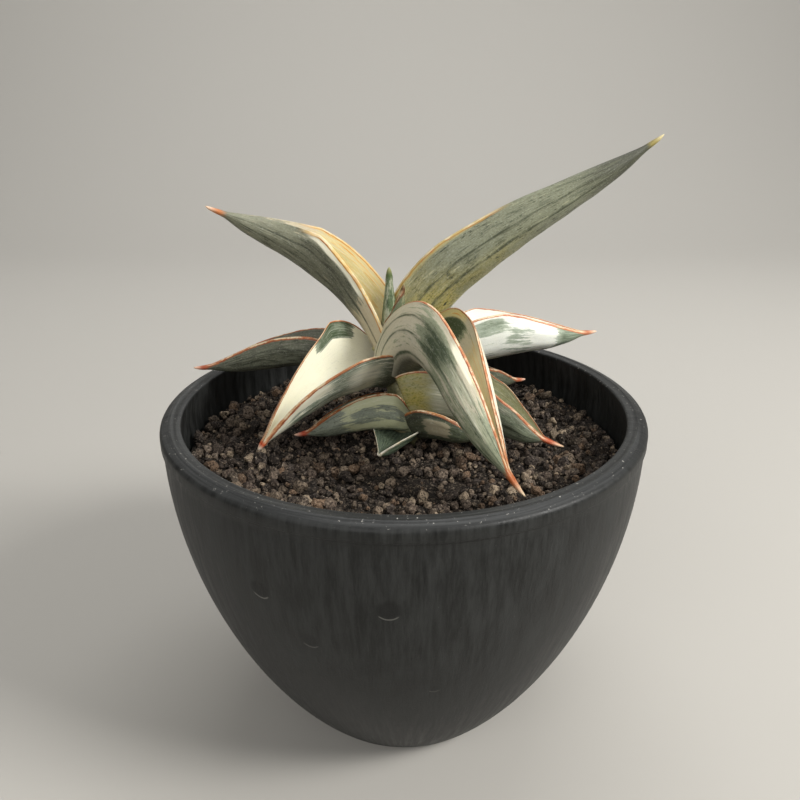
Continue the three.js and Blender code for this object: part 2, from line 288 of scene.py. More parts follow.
                   ("outer", -1, 0.3, -0.2, 0.45, 0.05, "dark", 0.75),
                   ("outer", -1, 1.2, -0.2, 0.085, 0.025, "dark", 0.6),
                   ("inner", -1.2, 1, 0.3, 1.0, 0.1, "warm", 0.35)]},
    "leaf_left_low": {
        "base": (5.5, -5, 105), "length": 41, "heading": (162, 188, 203, 181),
        "climb": (11, 4, -24, -9), "roll": (-25, -19, -13), "fold": (65, 62, 84),
        "girth": 10.5, "sheath": 0.55, "peak": 0.3, "taper": 1.5, "thick": 3.75,
        "spike": 0.1, "near": -1,
        "green": (0.12, 0.5), "pale": "#b4b692", "leafGreen": "#7c8272", "deep": "#3a3f32",
        "tuck": (0.3, 0.22), "lines": (0.1,), "mottle": 1.2, "margin": ("#8c4a20", "#a8683c"),
        "marginWidth": 0.51, "spikes": ("#b0482c", "#e8bda6"),
        "washes": [("outer", -1, 1.2, 0.6, 1.1, 0.08, "green", 0.75),
                   ("outer", 0.35, 0.72, 0.1, 0.55, 0.06, "green", 0.55),
                   ("outer", -0.6, 0.2, 0.1, 0.7, 0.08, "green", 0.35),
                   ("outer", 0.75, 1.2, 0.0, 0.6, 0.05, "light", 0.25)]},
    "leaf_back_low": {
        "base": (4, 7, 105), "length": 54, "heading": (36, 42, 42, 36),
        "climb": (20, 2, -26, -10), "roll": (0, 0, 0), "fold": (60, 65, 84), "girth": 10,
        "sheath": 0.55, "peak": 0.35, "taper": 1.4, "thick": 3.6, "spike": 0.1, "near": 1,
        "green": (0.9, 0.6), "pale": "#8c8f7c", "leafGreen": "#626654", "deep": "#2e3226",
        "mottle": 1.0, "margin": ("#8a4a2c", "#bd8464"), "marginWidth": 0.595,
        "spikes": ("#b0603e", "#dcb49c"), "washes": []},
    "leaf_front_low": {
        "base": (3.5, -4, 102.5), "length": 25, "heading": (-35, -34, -28, -19),
        "climb": (40, 1, -13, -18), "roll": (3, 1, -2), "fold": (60, 63, 84), "girth": 10,
        "sheath": 0.55, "peak": 0.35, "taper": 1.55, "thick": 3.9, "spike": 0.1, "near": 1,
        "green": (0.9, 0.5), "pale": "#8e866e", "leafGreen": "#4c523e", "deep": "#23281c",
        "start": 0.12, "mottle": 0.9, "margin": ("#7a4424", "#a8703f"), "marginWidth": 0.51,
        "spikes": ("#9a4a2a", "#d0a888"),
        "washes": [("outer", 0.35, 0.85, 0.35, 0.62, 0.05, "green", -0.85),
                   # painted shade over the base, low in the crown
                   ("outer", -1, 1.2, -0.2, 0.35, 0.1, "dark", 0.5)]},
    "leaf_old_scale": {
        "base": (-1, -4, 101), "length": 14, "heading": (-108, -134), "climb": (-2, -16),
        "roll": (0, 0), "fold": (34, 52), "girth": 9.5, "sheath": 0.8, "peak": 0.3,
        "taper": 1.2, "thick": 1.8, "spike": 0.06, "near": 1,
        "green": (0.95, 0.95), "pale": "#8f9382", "leafGreen": "#56624f", "deep": "#2b352a",
        "mottle": 0.9, "margin": ("#7a7560", "#d4cfbe"), "marginWidth": 0.306,
        "spikes": ("#a09880", "#d8d2c2"), "washes": []},
}


def blend(stations, t):
    values = list(stations)
    while len(values) > 1:
        values = [a + (b - a) * t for a, b in zip(values, values[1:])]
    return values[0]


def halfGirth(leaf, t):
    blade = min(t / (1 - leaf["spike"]), 1)
    rise = math.sin(math.pi / 2 * min(blade / leaf["peak"], 1))
    past = max((blade - leaf["peak"]) / (1 - leaf["peak"]), 0)
    shoulder = leafShape["shoulder"]
    fall = 1 - past ** (leaf["taper"] + 1) * (1 + shoulder) / (past + shoulder)
    body = leaf["girth"] * (leaf["sheath"] + (1 - leaf["sheath"]) * rise) * fall
    spike = min((1 - t) / leaf["spike"], 1) ** 0.7
    return math.hypot(body, leafShape["spikeRadius"] * spike + leafShape["spikePoint"])


def sectionTable(fold, count=40):  # the gutter's inner line for a wall of length 1
    sharp = leafShape["keelSharpness"]
    line = [(0.0, 0.0)]
    for i in range(count):
        s = (i + 0.5) / count
        angle = fold * s * (1 + sharp) / (s + sharp)
        x, y = line[-1]
        line.append((x + math.cos(angle) / count, y + math.sin(angle) / count))
    return line


def lookUp(table, share):
    place = share * (len(table) - 1)
    i = min(int(place), len(table) - 2)
    part = place - i
    (x0, y0), (x1, y1) = table[i], table[i + 1]
    return x0 + (x1 - x0) * part, y0 + (y1 - y0) * part


def leafSpine(leaf, steps):  # leaves out the first share of a leaf if it has a start
    spine, place, before = [], Vector(leaf["base"]), None
    lead = round(leaf.get("start", 0) * steps)
    for i in range(-lead, steps + 1):
        t = (lead + i) / (lead + steps)
        heading, climb, roll = (math.radians(blend(leaf[k], t)) for k in
                                ("heading", "climb", "roll"))
        forward = Vector((math.cos(climb) * math.cos(heading),
                          math.cos(climb) * math.sin(heading), math.sin(climb)))
        if before:
            place = place + (before + forward) * (leaf["length"] / (lead + steps) / 2)
        before = forward
        side = Vector((math.sin(heading), -math.cos(heading), 0))
        side.rotate(Matrix.Rotation(-roll, 3, forward))
        if i >= 0:
            spine.append((t, place, forward, side, side.cross(forward)))
    return spine


def washAmount(leaf, layer, face, across, along):
    total = 0.0
    for where, a0, a1, t0, t1, soft, kind, amount in leaf["washes"]:
        if kind != layer or where not in (face, "both"):
            continue
        inAcross = smoothstep(a0 - soft, a0 + soft, across)
        inAcross *= 1 - smoothstep(a1 - soft, a1 + soft, across)
        inAlong = smoothstep(t0 - soft, t0 + soft, along)
        inAlong *= 1 - smoothstep(t1 - soft, t1 + soft, along)
        total += amount * inAcross * inAlong
    return total


def marginShare(leaf, t):
    start, end = leaf.get("marginSpan", (-1, 2))
    return smoothstep(start - 0.05, start + 0.05, t) * (1 - smoothstep(end - 0.06, end + 0.06, t))


def growLeaf(name, leaf, seed):
    shape = leafShape
    around = shape["around"]
    steps = max(shape["fewest"], int(leaf["length"] * shape["perMm"]))
    bm = bmesh.new()
    placeLayer = bm.verts.layers.float_vector.new("leafPlace")
    toneLayer = bm.verts.layers.float_vector.new("leafTone")
    edgeLayer = bm.verts.layers.float_vector.new("leafEdge")
    coatLayer = bm.verts.layers.float_vector.new("leafCoat")
    bmesh.ops.create_grid(bm, x_segments=around, y_segments=steps, size=1)
    spine = leafSpine(leaf, steps)
    tables = [sectionTable(math.radians(blend(leaf["fold"], at[0]))) for at in spine]
    sharp = shape["keelSharpness"]
    for vert in bm.verts:
        u, v = (vert.co.x + 1) / 2, (vert.co.y + 1) / 2
        i = round(v * steps)
        t, place, forward, side, up = spine[i]
        turn = round((1 - u) * around) % around / around
        outside = turn < 0.5
        s = math.sin(math.pi / 2 * (4 * turn - 1 if outside else 3 - 4 * turn))
        share, sign = abs(s), math.copysign(1, s)
        ripple = leaf.get("wavy", 0.02) * noise.noise((t * 9 + seed, sign * 3, 0.5)) * 2
        girth = halfGirth(leaf, t) * (1 + ripple * smoothstep(0.5, 1, share))
        tucked, until = leaf.get("tuck", (1, 0.3))
        if sign * leaf["near"] > 0:
            girth *= tucked + (1 - tucked) * smoothstep(0, until, t)
        fold = math.radians(blend(leaf["fold"], t))
        x, y = lookUp(tables[i], share)
        angle = fold * share * (1 + sharp) / (share + sharp)
        body = leaf["thick"] * math.tanh(girth / leaf["thick"])
        body *= (1 - share ** shape["thinning"]) ** 1.1
        edge = min(shape["edge"], girth)
        fromMargin = (1 - share) * girth
        rounding = min(fromMargin / shape["edgeRound"], 1)
        edge *= math.sqrt(max(1 - (1 - rounding) ** 2, 0))
        bead = (fromMargin - shape["beadFrom"]) / shape["beadWide"]
        swell = shape["bead"] * math.exp(-bead ** 2)
        swell *= smoothstep(0.5, 3, girth)
        broadness = smoothstep(2, 6, girth)
        ribs = shape["ribs"] * math.sin(s * shape["ribTurns"] + seed) * broadness
        rough = shape["rough"] * noise.noise((s * shape["roughAcross"] + seed,
                                              t * leaf["length"] / shape["roughLong"], 7.0))
        rough *= broadness * (1 - share ** 6)
        if i == 0:
            depth = (body + edge) / 2
        elif outside:
            depth = body + edge + swell + (ribs + rough) * min(1, body)
        else:
            depth = -0.4 * swell
        co = place.copy()
        if i < steps:
            co += side * (sign * (x * girth + depth * math.sin(angle)))
            co += up * (y * girth - depth * math.cos(angle))
        vert.co = co * mm
        face = "outer" if outside else "inner"
        near = s * leaf["near"]
        kind = 0 if outside else 1
        tone = {layer: washAmount(leaf, layer, face, near, t)
                for layer in ("green", "warm", "dark", "light", "gold")}
        vert[placeLayer] = (near * leaf["girth"], t * leaf["length"], seed * 7.3 + 40 * kind)
        vert[toneLayer] = (tone["green"] + leaf["green"][kind], tone["warm"], tone["dark"])
        vert[coatLayer] = (tone["light"], tone["gold"], marginShare(leaf, t))
        spikeStart = 1 - leaf["spike"] * shape["spikeColor"]
        tipward = max(0, (t - spikeStart) / (1 - spikeStart))
        vert[edgeLayer] = (fromMargin, tipward, near)
    bmesh.ops.remove_doubles(bm, verts=bm.verts, dist=2e-6)
    bmesh.ops.recalc_face_normals(bm, faces=bm.faces)
    return finishPiece(bm, name + "_grown", leafMaterial(name, leaf), [name])


def attribute(tree, name):
    node = tree.nodes.new("ShaderNodeAttribute")
    node.attribute_name = name
    split = tree.nodes.new("ShaderNodeSeparateXYZ")
    tree.links.new(node.outputs["Vector"], split.inputs[0])
    return node.outputs["Vector"], split.outputs


def leafMaterial(name, leaf):
    material, tree, shader = startMaterial(name + "_skin")
    place, placeParts = attribute(tree, "leafPlace")
    _, (green, warm, dark) = attribute(tree, "leafTone")
    _, (light, gold, marginOn) = attribute(tree, "leafCoat")
    _, (fromMargin, tipward, near) = attribute(tree, "leafEdge")
    broad = grain(tree, stretched(tree, place, (0.3, 0.06, 1)), 1.0, 5, 0.6)
    patch = grain(tree, stretched(tree, place, (0.42, 0.2, 1)), 1.0, 5, 0.65)
    streak = grain(tree, stretched(tree, place, (1.5, 0.13, 1)), 1.0, 4, 0.62)
    dash = grain(tree, stretched(tree, place, (2.3, 0.42, 1)), 1.0, 4, 0.65)
    fleck = grain(tree, stretched(tree, place, (2.4, 1.5, 1)), 1.0, 4, 0.7)
    mottle = leaf.get("mottle", 0.8)

    # cream and green zones meet in ragged streaks
    ragged = calc(tree, "MULTIPLY", calc(tree, "SUBTRACT", streak, 0.5), 1.9)
    wide = calc(tree, "MULTIPLY", calc(tree, "SUBTRACT", patch, 0.5), 0.6)
    zone = calc(tree, "ADD", calc(tree, "ADD", green, ragged), wide)
    greenShare = ramp(tree, zone, 0.36, 0.6)
    greenSkin = tint(tree, ramp(tree, zone, 0.75, 1.35), paint(leaf["leafGreen"]),
                     paint(leaf["deep"]))
    skin = tint(tree, greenShare, paint(leaf["pale"]), greenSkin)
    skin = tint(tree, calc(tree, "MULTIPLY", warm, ramp(tree, patch, 0.3, 0.65, 0.4, 1.0)),
                skin, paint("#b3a45a"))
    freckle = calc(tree, "MULTIPLY", warm, ramp(tree, fleck, 0.52, 0.62, 0.0, 0.6))
    skin = tint(tree, freckle, skin, paint("#6d7a2e"))

    # dark dashes, long lines and the waxy meal on top
    dashes = calc(tree, "MULTIPLY", ramp(tree, dash, 0.52, 0.66), ramp(tree, patch, 0.4, 0.6))
    dashes = calc(tree, "MULTIPLY", dashes, ramp(tree, green, 0.1, 0.9, 0.1, mottle))
    skin = tint(tree, dashes, skin, paint(leaf["deep"]))
    for where in leaf.get("lines", ()):
        away = calc(tree, "SUBTRACT", placeParts[0], where * leaf["girth"])
        away = calc(tree, "ADD", away, calc(tree, "MULTIPLY", calc(
            tree, "SUBTRACT", broad, 0.5), 1.2))
        line = ramp(tree, calc(tree, "ABSOLUTE", away), 0.55, 0.08)
        line = calc(tree, "MULTIPLY", line, ramp(tree, streak, 0.32, 0.58, 0.15, 0.9))
        skin = tint(tree, line, skin, paint(leaf["deep"]))
    # dark washes: painted shade where they begin at the leaf base, elsewhere darker patches of
    # the skin
    skin = tint(tree, dark, skin, paint("#3a382c"))
    flecks = ramp(tree, green, 0.0, 0.8, 0.05, 0.3 * mottle)
    skin = tint(tree, calc(tree, "MULTIPLY", ramp(tree, fleck, 0.5, 0.68), flecks), skin,
                paint(leaf["deep"]))
    skin = tint(tree, calc(tree, "MULTIPLY", ramp(tree, fleck, 0.46, 0.3), 0.3), skin,
                paint("#bcbeb0"))

    # cream and gold bands beside the margin, with ragged inner borders
    edgy = calc(tree, "ADD", calc(tree, "MULTIPLY", ragged, 0.6), light)
    skin = tint(tree, ramp(tree, edgy, 0.22, 0.8), skin, paint("#e3dfc8"))
    golden = calc(tree, "ADD", calc(tree, "MULTIPLY", ragged, 0.5), gold)
    goldSkin = tint(tree, ramp(tree, streak, 0.5, 0.68), paint("#d8c882"), paint("#cf9640"))
    skin = tint(tree, ramp(tree, golden, 0.25, 0.95), skin, goldSkin)

    # horny margin: a dark line, then a pale edge along the bead, its own dry pale colour with a
    # painted highlight along the top
    width = leaf["marginWidth"]
    wobble = calc(tree, "MULTIPLY", calc(tree, "SUBTRACT", dash, 0.5), 0.55)
    reach = calc(tree, "ADD", fromMargin, wobble)
    inner, outer = (paint(code) for code in leaf["margin"])
    line = tint(tree, ramp(tree, patch, 0.5, 0.68), inner, paint("#b06a34"))
    lineOn = calc(tree, "MULTIPLY", ramp(tree, reach, width, width * 0.7), marginOn)
    skin = tint(tree, lineOn, skin, line)
    # pale bead: the margin's own pale colour, lightened as a painted highlight on the top of the
    # edge
    bead = calc(tree, "MULTIPLY", ramp(tree, reach, width * 0.56, width * 0.36), ramp(
        tree, patch, 0.34, 0.48, 0.6, 1.0))
    outer = tint(tree, ramp(tree, patch, 0.46, 0.56, 0.0, 0.8), outer, paint("#dccfae"))
    outer = tint(tree, ramp(tree, broad, 0.42, 0.34, 0.0, 0.7), outer, inner)
    skin = tint(tree, calc(tree, "MULTIPLY", bead, marginOn), skin, outer)
    spike = tint(tree, ramp(tree, tipward, 0.5, 0.95), paint(leaf["spikes"][0]),
                 paint(leaf["spikes"][1]))
    skin = tint(tree, ramp(tree, calc(tree, "ADD", tipward, wobble), 0.2, 0.5), skin, spike)

    relief = calc(tree, "ADD", streak, calc(tree, "MULTIPLY", fleck, 0.5))
    bump = addNode(tree, "ShaderNodeBump", Height=relief, Strength=0.4, Distance=0.0003)
    tree.links.new(skin, shader.inputs["Base Color"])
    tree.links.new(ramp(tree, fleck, 0.3, 0.7, 0.4, 0.58), shader.inputs["Roughness"])
    tree.links.new(bump.outputs[0], shader.inputs["Normal"])
    shader.inputs["Specular IOR Level"].default_value = 0.4
    shader.inputs["Subsurface Weight"].default_value = 0.08
    shader.inputs["Subsurface Radius"].default_value = (1.0, 0.8, 0.35)
    shader.inputs["Subsurface Scale"].default_value = 0.001
    return material


for order, (leafName, leafLook) in enumerate(leaves.items()):
    growLeaf(leafName, leafLook, order + 1)
print("leaves grown:", len(leaves))


# short stem under the rosette, ringed with old leaf scars
stem = {"foot": (3, 0, 90), "head": (-3, 4, 127), "radii": (5, 6.5, 6.8, 6, 5, 3.5, 0.6),
        "sides": 40, "rings": 30, "scar": 0.5, "scarTurns": 22, "rough": 0.4}


def buildStem():
    foot, head = Vector(stem["foot"]), Vector(stem["head"])
    axis = head - foot
    lean = Vector((0, 0, 1)).rotation_difference(axis.normalized()).to_matrix()
    bm = bmesh.new()
    bmesh.ops.create_circle(bm, segments=stem["sides"], radius=1)
    edges = list(bm.edges)
    levels = [list(bm.verts)]
    bmesh.ops.contextual_create(bm, geom=list(bm.edges))
    for _ in range(stem["rings"]):
        out = bmesh.ops.extrude_edge_only(bm, edges=edges)["geom"]
        edges = [e for e in out if isinstance(e, bmesh.types.BMEdge)]
        levels.append([v for v in out if isinstance(v, bmesh.types.BMVert)])
    bmesh.ops.contextual_create(bm, geom=edges)
    for i, level in enumerate(levels):
        t = i / stem["rings"]
        radius = blend(stem["radii"], t)
        for vert in level:
            turn = math.atan2(vert.co.y, vert.co.x)
            scar = stem["scar"] * abs(math.sin(t * stem["scarTurns"] + turn)) ** 0.4
            rough = stem["rough"] * noise.noise((math.cos(turn), math.sin(turn), t * 5))
            out = radius - scar + rough
            at = Vector((math.cos(turn) * out, math.sin(turn) * out, axis.length * t))
            vert.co = (foot + lean @ at) * mm
    bmesh.ops.recalc_face_normals(bm, faces=bm.faces)
    material, tree, shader = startMaterial("stem_skin")
    coords = tree.nodes.new("ShaderNodeTexCoord").outputs["Object"]
    blotch = grain(tree, coords, 260, 5, 0.6)
    skin = tint(tree, ramp(tree, blotch, 0.35, 0.65), paint("#4b4a30"), paint("#8d8660"))
    bump = addNode(tree, "ShaderNodeBump", Height=blotch, Strength=0.4, Distance=0.0004)
    tree.links.new(skin, shader.inputs["Base Color"])
    tree.links.new(bump.outputs[0], shader.inputs["Normal"])
    shader.inputs["Roughness"].default_value = 0.6
    return finishPiece(bm, "stem_grown", material, ["stem"])


buildStem()
print("stem built")


# pot: one moulding, spun from an outline in millimetres
pot = {"rimRadius": 75, "rimInner": 68.7, "ridge": 71.8, "bandDepth": 4.9, "step": 0.6,
       "foot": 34.5, "bulge": (75, 67), "tuck": (57.7, 25.4), "wall": 4.5, "floor": 5,
       "holes": 5, "holeRadius": 4, "holeRing": 20, "turns": 288,
       "scuffs": [((-37.3, -62.5, 84), 3.0, 0.7), ((-4, -72.7, 85), 3.2, 0.6),
                  ((-24.6, -65.5, 70), 2.6, 0.4), ((8, -64.3, 53), 1.8, 0.3),
                  ((52, 50, 80), 3.0, 0.5), ((-60, 35, 74), 3.2, 0.45)]}


def wallLine(inset, points):
    top = Vector((pot["rimRadius"] - pot["step"], potTop / mm - pot["bandDepth"]))
    ends = [Vector((pot["foot"], 0)), Vector(pot["tuck"]), Vector(pot["bulge"]), top]
    line = []
    for i in range(points + 1):
        t = i / points
        at = blend(ends, t)
        ahead = (blend(ends, min(t + 0.01, 1)) - blend(ends, max(t - 0.01, 0))).normalized()
        line.append(at + Vector((-ahead.y, ahead.x)) * inset)
    return line


def arc(center, radius, start, stop, count):
    turns = [math.radians(start + (stop - start) * i / count) for i in range(count + 1)]
    return [Vector((center[0] + radius * math.cos(a), center[1] + radius * math.sin(a)))
            for a in turns]


def buildPot():
    top = potTop / mm
    outer = [p for p in wallLine(0, 44) if p.y > 1.2]
    inner = [p for p in wallLine(pot["wall"], 30) if pot["floor"] + 5 < p.y < top - 7]
    band = top - pot["bandDepth"]
    outline = [Vector((0, 0.8)), Vector((26, 0.8)), Vector((27, 0)),
               *arc((pot["foot"] - 1.2, 1.2), 1.2, -90, -20, 5), *outer[:-1],
               Vector((pot["rimRadius"] - pot["step"], band - 0.25)),
               Vector((pot["rimRadius"] - pot["step"] + 0.1, band - 0.05)),
               Vector((pot["rimRadius"] - 0.12, band + 0.05)),
               Vector((pot["rimRadius"], band + 0.3)),
               *arc((pot["rimRadius"] - 1.6, top - 2.3), 1.6, 0, 62, 8),
               Vector((pot["ridge"] + 0.5, top - 0.22)),
               *arc((pot["ridge"], top - 0.25), 0.25, 80, 130, 3),
               Vector((pot["ridge"] - 0.6, top - 0.12)),
               *arc((pot["rimInner"] + 0.7, top - 0.8), 0.7, 95, 180, 6),
               *reversed(inner), Vector((pot["foot"], pot["floor"] + 1.5)),
               Vector((pot["foot"] - 3, pot["floor"])), Vector((0, pot["floor"]))]
    bm = bmesh.new()
    verts = [bm.verts.new((p.x * mm, 0, p.y * mm)) for p in outline]
    edges = [bm.edges.new(pair) for pair in zip(verts, verts[1:])]
    bmesh.ops.spin(bm, geom=verts + edges, axis=(0, 0, 1), cent=(0, 0, 0),
                   angle=2 * math.pi, steps=pot["turns"], use_merge=True)
    bmesh.ops.remove_doubles(bm, verts=bm.verts, dist=1e-6)
    bmesh.ops.recalc_face_normals(bm, faces=bm.faces)
    piece = finishPiece(bm, "pot_moulded", potMaterial(), ["pot"])
    cutHoles(piece)
    return piece


def cutHoles(piece):
    bm = bmesh.new()
    for i in range(pot["holes"]):
        turn = 2 * math.pi * i / pot["holes"] + math.pi / 2
        at = Matrix.Translation((pot["holeRing"] * mm * math.cos(turn),
                                 pot["holeRing"] * mm * math.sin(turn), 0))
        bmesh.ops.create_cone(bm, cap_ends=True, segments=40, radius1=pot["holeRadius"] * mm,
                              radius2=pot["holeRadius"] * mm, depth=30 * mm, matrix=at)
    mesh = bpy.data.meshes.new("drain_cutter")
    bm.to_mesh(mesh)
    bm.free()
    cutter = bpy.data.objects.new("drain_cutter", mesh)
    bpy.context.collection.objects.link(cutter)
    cut = piece.modifiers.new("drain", "BOOLEAN")
    cut.operation = "DIFFERENCE"
    cut.object = cutter
    graph = bpy.context.evaluated_depsgraph_get()
    done = bpy.data.meshes.new_from_object(piece.evaluated_get(graph))
    piece.modifiers.clear()
    piece.data = done
    bpy.data.objects.remove(cutter)


def scuffMasks(tree, coords, at, size, strength):  # a dark press mark with a scraped lower lip
    away = tree.nodes.new("ShaderNodeVectorMath")
    away.operation = "DISTANCE"
    plug(tree, coords, away.inputs[0])
    away.inputs[1].default_value = [v * mm for v in at]
    split = tree.nodes.new("ShaderNodeSeparateXYZ")
    tree.links.new(coords, split.inputs[0])
    rough = grain(tree, coords, 700, 3, 0.6)
    reach = calc(tree, "ADD", away.outputs["Value"], calc(
        tree, "MULTIPLY", calc(tree, "SUBTRACT", rough, 0.5), 1.4 * mm))
    smudge = ramp(tree, reach, size * 1.25 * mm, size * 0.6 * mm, 0.0, strength)
    off = calc(tree, "ABSOLUTE", calc(tree, "SUBTRACT", away.outputs["Value"], size * mm))
    scrape = ramp(tree, off, 0.3 * mm, 0.08 * mm, 0.0, strength)
    low = ramp(tree, split.outputs[2], (at[2] - size * 0.55) * mm, (at[2] - size * 0.8) * mm)
    return smudge, calc(tree, "MULTIPLY", scrape, low)


def potMaterial():
    material, tree, shader = startMaterial("charcoal_plastic")
    coords = tree.nodes.new("ShaderNodeTexCoord").outputs["Object"]
    split = tree.nodes.new("ShaderNodeSeparateXYZ")
    tree.links.new(coords, split.inputs[0])
    x, y, z = split.outputs
    radius = calc(tree, "SQRT", calc(tree, "ADD", calc(tree, "MULTIPLY", x, x),
                                     calc(tree, "MULTIPLY", y, y)))
    safe = calc(tree, "MAXIMUM", radius, 0.001)
    around = tree.nodes.new("ShaderNodeCombineXYZ")
    tree.links.new(calc(tree, "DIVIDE", x, safe), around.inputs[0])
    tree.links.new(calc(tree, "DIVIDE", y, safe), around.inputs[1])
    tree.links.new(calc(tree, "MULTIPLY", z, 2.0), around.inputs[2])
    brushed = grain(tree, around.outputs[0], 34, 6, 0.68)
    wide = grain(tree, around.outputs[0], 5, 3, 0.5)
    cloudy = grain(tree, coords, 60, 4, 0.6)
    dust = grain(tree, coords, 900, 3, 0.7)
    onRim = ramp(tree, z, potTop - 1.6 * mm, potTop - 0.4 * mm)
    rings = tree.nodes.new("ShaderNodeCombineXYZ")
    tree.links.new(calc(tree, "MULTIPLY", radius, 700.0), rings.inputs[0])
    tree.links.new(calc(tree, "MULTIPLY", x, 14.0), rings.inputs[1])
    tree.links.new(calc(tree, "MULTIPLY", y, 14.0), rings.inputs[2])
    ringed = grain(tree, rings.outputs[0], 1.5, 3, 0.6)
    body = tint(tree, ramp(tree, brushed, 0.32, 0.68), paint("#111211"), paint("#2d2e2d"))
    body = tint(tree, ramp(tree, cloudy, 0.5, 0.75, 0.0, 0.4), body, paint("#131312"))
    body = tint(tree, ramp(tree, wide, 0.5, 0.75, 0.0, 0.2), body, paint("#303131"))
    rimSkin = tint(tree, ramp(tree, ringed, 0.35, 0.65), paint("#232424"), paint("#3a3b3b"))
    rimSkin = tint(tree, ramp(tree, dust, 0.64, 0.72, 0.0, 0.7), rimSkin, paint("#b4b1aa"))
    body = tint(tree, onRim, body, rimSkin)
    body = tint(tree, ramp(tree, dust, 0.72, 0.8, 0.0, 0.35), body, paint("#7c7a76"))
    for at, size, strength in pot["scuffs"]:
        smudge, scrape = scuffMasks(tree, coords, at, size, strength)
        body = tint(tree, smudge, body, paint("#040404"))
        body = tint(tree, scrape, body, paint("#6e6d68"))
    tree.links.new(body, shader.inputs["Base Color"])
    tree.links.new(ramp(tree, brushed, 0.3, 0.7, 0.4, 0.58), shader.inputs["Roughness"])
    height = calc(tree, "ADD", brushed, calc(tree, "MULTIPLY", dust, 0.3))
    height = calc(tree, "ADD", height, calc(tree, "MULTIPLY", ringed, onRim))
    bump = addNode(tree, "ShaderNodeBump", Height=height, Strength=0.3, Distance=0.0004)
    tree.links.new(bump.outputs[0], shader.inputs["Normal"])
    shader.inputs["Specular IOR Level"].default_value = 0.28
    return material


buildPot()
print("pot built")


# grit: a bed, and loose grains in three sizes (count, least and greatest radius, lift)
grit = {"seed": 11, "inside": 68.0, "bed": 96.2, "crown": 1.2, "hollows": 0.9, "hollowSize": 17,
        "templates": 26, "chips": 9, "chipDepth": (0.55, 0.85),
        "tints": ["#332b26", "#463c35", "#574b41", "#272220", "#736556", "#3a3431", "#4e453c",
                  "#64584d", "#1e1a18", "#93836f", "#64503f"],
        "sizes": {"grit_coarse": (760, 1.3, 2.5, 0.75), "grit_medium": (2000, 0.8, 1.3, 0.3),
                  "grit_fine": (2300, 0.45, 0.85, 0.05)}}


def gritMaterial(name):
    material, tree, shader = startMaterial(name + "_stone")
    coords = tree.nodes.new("ShaderNodeTexCoord").outputs["Object"]
    shade = tree.nodes.new("ShaderNodeAttribute")
    shade.attribute_name = "grainTint"
    pores = grain(tree, coords, 1500, 5, 0.75)
    patch = grain(tree, coords, 420, 4, 0.65)
    base = tint(tree, ramp(tree, patch, 0.3, 0.7), paint("#2c241e"), paint("#6a5b4d"))
    skin = tint(tree, 0.8, base, shade.outputs["Color"])
    # pore pits painted near black as shade in the recesses, pore peaks painted pale as highlights
    # on the grain tops
    skin = tint(tree, ramp(tree, pores, 0.51, 0.4, 0.0, 0.9), skin, paint("#070504"))
    skin = tint(tree, ramp(tree, pores, 0.55, 0.68, 0.0, 0.65), skin, paint("#a89a88"))
    bump = addNode(tree, "ShaderNodeBump", Height=pores, Strength=0.9, Distance=0.0006)
    tree.links.new(skin, shader.inputs["Base Color"])
    tree.links.new(bump.outputs[0], shader.inputs["Normal"])
    shader.inputs["Roughness"].default_value = 0.92
    shader.inputs["Specular IOR Level"].default_value = 0.25
    return material


def buildBed():
    bm = bmesh.new()
    rings = 46
    verts = [bm.verts.new((grit["inside"] * mm * i / rings, 0, 0)) for i in range(rings + 1)]
    edges = [bm.edges.new(pair) for pair in zip(verts, verts[1:])]
    bmesh.ops.spin(bm, geom=verts + edges, axis=(0, 0, 1), cent=(0, 0, 0),
                   angle=2 * math.pi, steps=180, use_merge=True)
    bmesh.ops.remove_doubles(bm, verts=bm.verts, dist=1e-6)
    for vert in bm.verts:
        vert.co.z = bedHeight(vert.co.x / mm, vert.co.y / mm) * mm
        vert.co.z += noise.fractal(vert.co * 700, 0.9, 2.1, 4) * 0.9 * mm
    rim = [e for e in bm.edges if e.is_boundary]
    out = bmesh.ops.extrude_edge_only(bm, edges=rim)["geom"]
    low = [v for v in out if isinstance(v, bmesh.types.BMVert)]
    for vert in low:
        vert.co.z = (grit["bed"] - 6) * mm
    bmesh.ops.contextual_create(bm, geom=[e for e in out if isinstance(e, bmesh.types.BMEdge)])
    bmesh.ops.recalc_face_normals(bm, faces=bm.faces)
    # the bed is painted near black: painted shade in the deep gaps between the grains
    layer = bm.verts.layers.float_color.new("grainTint")
    for vert in bm.verts:
        vert[layer] = paint("#0f0c0a")
    return finishPiece(bm, "grit_bed", gritMaterial("grit_bed"), ["grit"])


def bedHeight(x, y):  # gently domed, with shallow hollows
    dome = grit["crown"] * (1 - min(math.hypot(x, y) / 70, 1) ** 2)
    wave = grit["hollowSize"]
    hollow = grit["hollows"] * noise.noise((x / wave, y / wave, 3.1))
    return grit["bed"] - 1.4 + dome + hollow


def grainTemplates(rng):
    made = []
    for k in range(grit["templates"]):
        bm = bmesh.new()
        bmesh.ops.create_icosphere(bm, subdivisions=2, radius=1)
        shift = Vector((k * 3.1, k * 1.7, 0))
        squash = Vector((rng.uniform(0.8, 1.2), rng.uniform(0.75, 1.1), rng.uniform(0.65, 1)))
        chips = [(Vector((rng.gauss(0, 1), rng.gauss(0, 1), rng.gauss(0, 1))).normalized(),
                  rng.uniform(*grit["chipDepth"])) for _ in range(grit["chips"])]
        for vert in bm.verts:
            vert.co *= 1 + 0.3 * noise.noise(vert.co * 1.3 + shift)
            for facing, depth in chips:
                over = vert.co.dot(facing) - depth
                if over > 0:
                    vert.co -= facing * over
            vert.co *= 1 + 0.16 * noise.noise(vert.co * 4 + shift)
            vert.co = vert.co * squash
        mesh = bpy.data.meshes.new("grain_template")
        bm.to_mesh(mesh)
        bm.free()
        made.append(mesh)
    return made


